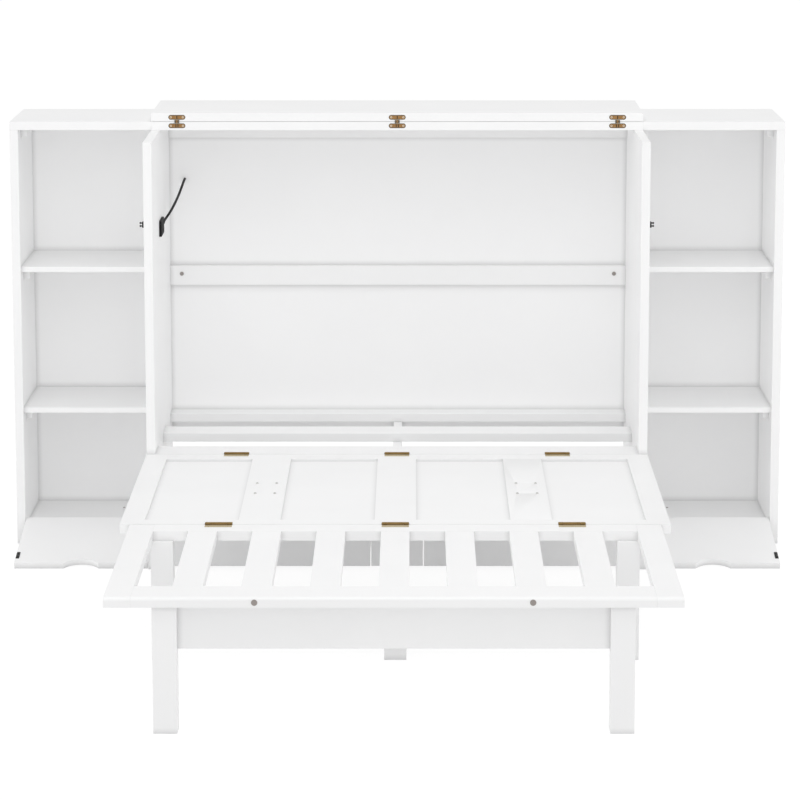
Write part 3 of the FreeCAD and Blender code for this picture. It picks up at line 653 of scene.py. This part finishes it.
# Drawer runners: folded steel channels, open towards the drawer, screwed to the sides and to
# the packers beside the middle wall. They have the handles' nickel finish.
runner_low, runner_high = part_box("drawer_runners")
runner_middle = (runner_low + runner_high) / 2
runner_size = runner_high - runner_low
runner_thick, steel = 0.012, 0.0015
bm = bmesh.new()
block = Matrix.Diagonal((runner_size.z, runner_size.y, runner_thick, 1))
bmesh.ops.create_cube(bm, size=1, matrix=block)
bm.normal_update()
open_side = max(bm.faces, key=lambda face: face.calc_center_median().z)
bmesh.ops.inset_region(bm, faces=[open_side], thickness=steel)
bmesh.ops.translate(bm, verts=open_side.verts, vec=(0, 0, steel - runner_thick))
soften(bm, 0.0004, steps=1)
runner = shape_of(bm)
wall_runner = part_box("centre_side_right")[0].x - runner_thick / 2
packer_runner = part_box("runner_packers")[1].x + runner_thick / 2
bm = bmesh.new()
for side in (-1, 1):
    for out, turn in ((wall_runner, -side), (packer_runner, side)):
        spot = Matrix.Translation((side * out, runner_middle.y, runner_middle.z))
        stamp(bm, runner, spot @ Matrix.Rotation(math.radians(90 * turn), 4, "Y"))
piece("drawer_runner_channels", bm, (nickel,), "cabinet", "drawer_runners")

# Black metal: the wings' stud plates, cast with two mushroom studs each, and the flaps' flat
# striking plates, each with two screws. Both are fixed on the boards' faces.
black_metal, metal_shader = start_material("black_metal", (0.012, 0.012, 0.0125), 0.42)
metal_shader.inputs["Specular IOR Level"].default_value = 0.3
vary_roughness(black_metal, metal_shader, noise(black_metal, 600.0), 0.34, 0.5)
raise_skin(black_metal, metal_shader, noise(black_metal, 2000.0), 0.00004)


def rounded_plate(long, wide, thick, corner, edge):
    """A flat plate with round corners and soft edges, its back on the origin."""
    bm = bmesh.new()
    block = Matrix.Translation((0, 0, thick / 2)) @ Matrix.Diagonal((long, wide, thick, 1))
    bmesh.ops.create_cube(bm, size=1, matrix=block)
    upright = [
        item
        for item in bm.edges
        if abs(item.verts[0].co.z - item.verts[1].co.z) > thick / 2
    ]
    bmesh.ops.bevel(
        bm, geom=upright, offset=corner, segments=5, profile=0.5, affect="EDGES", material=-1
    )
    bm.normal_update()
    rim = [
        item
        for item in bm.edges
        if item.calc_face_angle(0) > 1 and all(vert.co.z > thick / 2 for vert in item.verts)
    ]
    bmesh.ops.bevel(bm, geom=rim, offset=edge, segments=2, profile=0.5, affect="EDGES", material=-1)
    return shape_of(bm)


low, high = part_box("wing_stud_plates")
middle = (low + high) / 2
plate_thick, stud_out = 0.006, 0.0043
stud_base = rounded_plate(high.y - low.y, high.z - low.z, plate_thick, corner=0.0025, edge=0.0007)
stud_radius, cap_radius, stud_long = 0.0018, 0.003, 0.0075
stud = turned(
    (
        (0, 0),
        (stud_radius, 0),
        (stud_radius, 0.0035),
        (0.0027, 0.0037),
        (cap_radius, 0.0044),
        (cap_radius, 0.0062),
        (0.0026, 0.0071),
        (0.0017, stud_long),
        (0, stud_long),
    )
)
bm = bmesh.new()
for side in (-1, 1):
    outward = Matrix.Rotation(math.radians(90 * side), 4, "Y")
    base_spot = Matrix.Translation((side * unit_half, middle.y, middle.z))
    stamp(bm, stud_base, base_spot @ outward @ Matrix.Rotation(math.radians(90), 4, "Z"))
    for up in (-stud_out, stud_out):
        spot = (side * (unit_half + plate_thick), middle.y, middle.z + up)
        stamp(bm, stud, Matrix.Translation(spot) @ outward)
piece("wing_studs", bm, (black_metal,), "cabinet", "wing_stud_plates")

catch_wide, catch_long, catch_thick = 0.01, 0.044, 0.002
catch_screw_tall, catch_screw_out = 0.0012, 0.014
catch_plate = rounded_plate(catch_wide, catch_long, catch_thick, corner=0.0015, edge=0.0004)
catch_screw = screw_head(0.003, catch_screw_tall)
flap_lean = math.radians(10.07)
off_flap = Vector((0, -math.sin(flap_lean), math.cos(flap_lean)))
for side in ("left", "right"):
    low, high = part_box(f"flap_catch_{side}")
    back = (low + high) / 2 - off_flap * (catch_thick + catch_screw_tall) / 2
    lying = Matrix.Translation(back) @ Matrix.Rotation(flap_lean, 4, "X")
    bm = bmesh.new()
    stamp(bm, catch_plate, lying)
    for end in (-catch_screw_out, catch_screw_out):
        stamp(bm, catch_screw, lying @ Matrix.Translation((0, end, catch_thick)))
    finishes = (black_metal, recess_shade)
    name, node = f"flap_catch_plate_{side}", f"flap_catch_{side}"
    piece(name, bm, finishes, f"flap_{side}", node)

# Outlet strip: a moulded black plate with round corners and a sunk face, flat on the left wall.
# Its two socket faces are plain guesses, because the photograph shows the strip from its edge.
moulded_black, black_shader = start_material("moulded_black", (0.011, 0.011, 0.0115), 0.62)
black_shader.inputs["Specular IOR Level"].default_value = 0.12
vary_roughness(moulded_black, black_shader, noise(moulded_black, 300.0), 0.56, 0.68)
raise_skin(moulded_black, black_shader, noise(moulded_black, 2500.0), 0.00005)
strip_low, strip_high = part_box("outlet_strip")
strip_middle = (strip_low + strip_high) / 2
off_wall = Matrix.Rotation(math.radians(90), 4, "Y") @ Matrix.Rotation(math.radians(90), 4, "Z")
strip_size = strip_high - strip_low
face_rim, face_lip, face_sunk = 0.0022, 0.0006, 0.0007
strip_shell = rounded_plate(strip_size.y, strip_size.z, strip_size.x, corner=0.005, edge=0.0012)
bm = bmesh.new()
bm.from_mesh(strip_shell)
face = max(bm.faces, key=lambda item: item.calc_center_median().z)
bmesh.ops.inset_region(bm, faces=[face], thickness=face_rim)
bmesh.ops.inset_region(bm, faces=[face], thickness=face_lip, depth=-face_sunk)
strip_shape = shape_of(bm)
socket_thick, hole_deep, socket_out = 0.0006, 0.0005, 0.025
bm = bmesh.new()
bmesh.ops.create_cone(
    bm, cap_ends=True, segments=40, radius1=0.0165, radius2=0.016, depth=socket_thick
)
socket_holes = (
    (-0.0072, -0.004, -0.0052, 0.005),
    (0.0052, -0.004, 0.0072, 0.004),
    (-0.0022, -0.0125, 0.0022, -0.0082),
)
bm.normal_update()
sink(bm, socket_thick / 2, socket_holes, hole_deep, finish=1)
socket = shape_of(bm)
bm = bmesh.new()
wall_spot = Matrix.Translation((strip_low.x, strip_middle.y, strip_middle.z)) @ off_wall
stamp(bm, strip_shape, wall_spot)
socket_high = strip_size.x - face_sunk + socket_thick / 2
for along in (-socket_out, socket_out):
    stamp(bm, socket, wall_spot @ Matrix.Translation((along, 0, socket_high)))
piece("outlet_strip_body", bm, (moulded_black, recess_shade), "cabinet", "outlet_strip")

# Lead of the outlet strip: a round sheathed lead that runs up and back along the wall and leaves
# through a hole in the back panel. A tapered sleeve eases it out of the strip's rear end.
sheath_black, sheath_shader = start_material("lead_sheath", (0.012, 0.012, 0.0125), 0.55)
sheath_shader.inputs["Specular IOR Level"].default_value = 0.25
vary_roughness(sheath_black, sheath_shader, noise(sheath_black, 150.0), 0.48, 0.62)
raise_skin(sheath_black, sheath_shader, noise(sheath_black, 1500.0), 0.00004)
lead_diameter = 0.0075
lead_start = strip_high.y
lead_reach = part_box("centre_back_panel")[1].y - lead_start
lead_route = (
    (0.004, 0, 0.029),
    (0.004, 0.097, 0.029),
    (0.020, 0.236, 0.050),
    (0.031, 0.442, 0.071),
    (0.039, 0.661, 0.091),
    (0.047, 0.873, 0.119),
    (0.047, 1, 0.119),
)
line = bpy.data.curves.new("outlet_lead_line", "CURVE")
line.dimensions = "3D"
line.bevel_depth = lead_diameter / 2
line.bevel_resolution = 6
line.resolution_u = 12
spline = line.splines.new("NURBS")
spline.points.add(len(lead_route) - 1)
for point, (from_wall, share, up) in zip(spline.points, lead_route):
    point.co = (strip_low.x + from_wall, lead_start + share * lead_reach, strip_low.z + up, 1)
spline.order_u = 3
spline.use_endpoint_u = True
line.materials.append(sheath_black)
lead = link("outlet_lead_sheath", line)
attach(lead, "cabinet")
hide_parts("outlet_lead")
rib_pitch, rib_long, rib_slope, groove_deep = 0.0035, 0.0022, 0.0002, 0.0006
sleeve_radius, taper, tip_radius, sleeve_long = 0.0058, 0.00009, 0.0046, 0.0262
sleeve_ribs = [(0, 0)]
for step in range(7):
    along = rib_pitch * step
    radius = sleeve_radius - taper * step
    groove = radius - groove_deep
    sleeve_ribs += [(radius, along), (radius, along + rib_long)]
    sleeve_ribs += [(groove, along + rib_long + rib_slope), (groove, along + rib_pitch - rib_slope)]
sleeve_ribs += [(tip_radius, sleeve_long), (0, sleeve_long)]
sleeve = turned(sleeve_ribs)
sleeve_off_wall, sleeve_hidden = 0.0045, 0.002
slim = Matrix.Diagonal((0.76, 1, 1, 1))
mouth = Matrix.Translation(
    (strip_low.x + sleeve_off_wall, lead_start - sleeve_hidden, strip_low.z + lead_route[0][2])
)
bm = bmesh.new()
stamp(bm, sleeve, mouth @ slim @ along_y)
relief = piece("outlet_lead_relief", bm, (sheath_black,), "cabinet")

# Floor and room: a pale matt floor that keeps the bed's soft shadow and runs on as white behind
# it, because most of what the camera sees of it is an even glow. The room is plain white light.
floor_half, floor_tone, floor_glow, glow_share = 45, 0.78, 1.11, 0.8
bm = bmesh.new()
bmesh.ops.create_grid(bm, x_segments=1, y_segments=1, size=floor_half)
floor_mesh = bpy.data.meshes.new("floor")
bm.to_mesh(floor_mesh)
bm.free()
floor = link("floor", floor_mesh)
floor_paint = bpy.data.materials.new("pale_floor")
floor_paint.use_nodes = True
tree = floor_paint.node_tree
tree.nodes.clear()
matt = tree.nodes.new("ShaderNodeBsdfDiffuse")
matt.inputs["Color"].default_value = (floor_tone, floor_tone, floor_tone, 1)
glow = tree.nodes.new("ShaderNodeEmission")
glow.inputs["Strength"].default_value = floor_glow
path = tree.nodes.new("ShaderNodeLightPath")
share = tree.nodes.new("ShaderNodeMath")
share.operation = "MULTIPLY"
share.inputs[1].default_value = glow_share
clear = tree.nodes.new("ShaderNodeMath")
clear.operation = "ADD"
clear.use_clamp = True
tree.links.new(path.outputs["Is Camera Ray"], clear.inputs[0])
tree.links.new(path.outputs["Is Glossy Ray"], clear.inputs[1])
blend = tree.nodes.new("ShaderNodeMixShader")
surface = tree.nodes.new("ShaderNodeOutputMaterial")
tree.links.new(clear.outputs["Value"], share.inputs[0])
tree.links.new(share.outputs["Value"], blend.inputs["Fac"])
tree.links.new(matt.outputs["BSDF"], blend.inputs[1])
tree.links.new(glow.outputs["Emission"], blend.inputs[2])
tree.links.new(blend.outputs["Shader"], surface.inputs["Surface"])
floor_mesh.materials.append(floor_paint)

world = bpy.data.worlds.new("studio")
bpy.context.scene.world = world
world.use_nodes = True
sky = world.node_tree.nodes["Background"]
sky.inputs["Color"].default_value = (1, 1, 1, 1)
sky.inputs["Strength"].default_value = 0.81


# Lights: soft lamps around the front, set so low that white renders about as written. All but
# one cast no shadow and fill the hollows, as reflectors in a studio do.
def soft_light(name, spot, size, watts, shadow):
    """A square lamp that faces the bed's middle."""
    lamp = bpy.data.lights.new(name, "AREA")
    lamp.size = size
    lamp.energy = watts
    lamp.use_shadow = shadow
    holder = link(name, lamp)
    holder.location = spot
    towards = Vector((0, 0.2, 0.6)) - Vector(spot)
    holder.rotation_euler = towards.to_track_quat("-Z", "Y").to_euler()


soft_light("overhead", (0, -2, 6), size=5, watts=60, shadow=True)
soft_light("overhead_fill", (0, -2, 6), size=5, watts=15, shadow=False)
soft_light("high_fill", (0, -7, 6), size=4, watts=53, shadow=False)
soft_light("left_fill", (-8, -2.5, 1.5), size=4, watts=133, shadow=False)
soft_light("right_fill", (8, -2.5, 1.5), size=4, watts=120, shadow=False)

# Camera: where the photograph was taken from, with its lens and framing. It looks straight along
# the bed and slightly down, and the shifts move the picture on its film, as the cropping did.
camera_spot, camera_down = (0.04588, -8.86683, 2.31243), 9.53
camera = bpy.data.cameras.new("camera")
camera.sensor_width = 36
camera.lens = 148.35
camera.shift_x = -0.016
camera.shift_y = -0.1022
camera.clip_end = 200
holder = link("camera", camera)
holder.location = camera_spot
holder.rotation_euler = (math.radians(90 - camera_down), 0, 0)
bpy.context.scene.camera = holder
bpy.context.scene.view_settings.view_transform = "Standard"
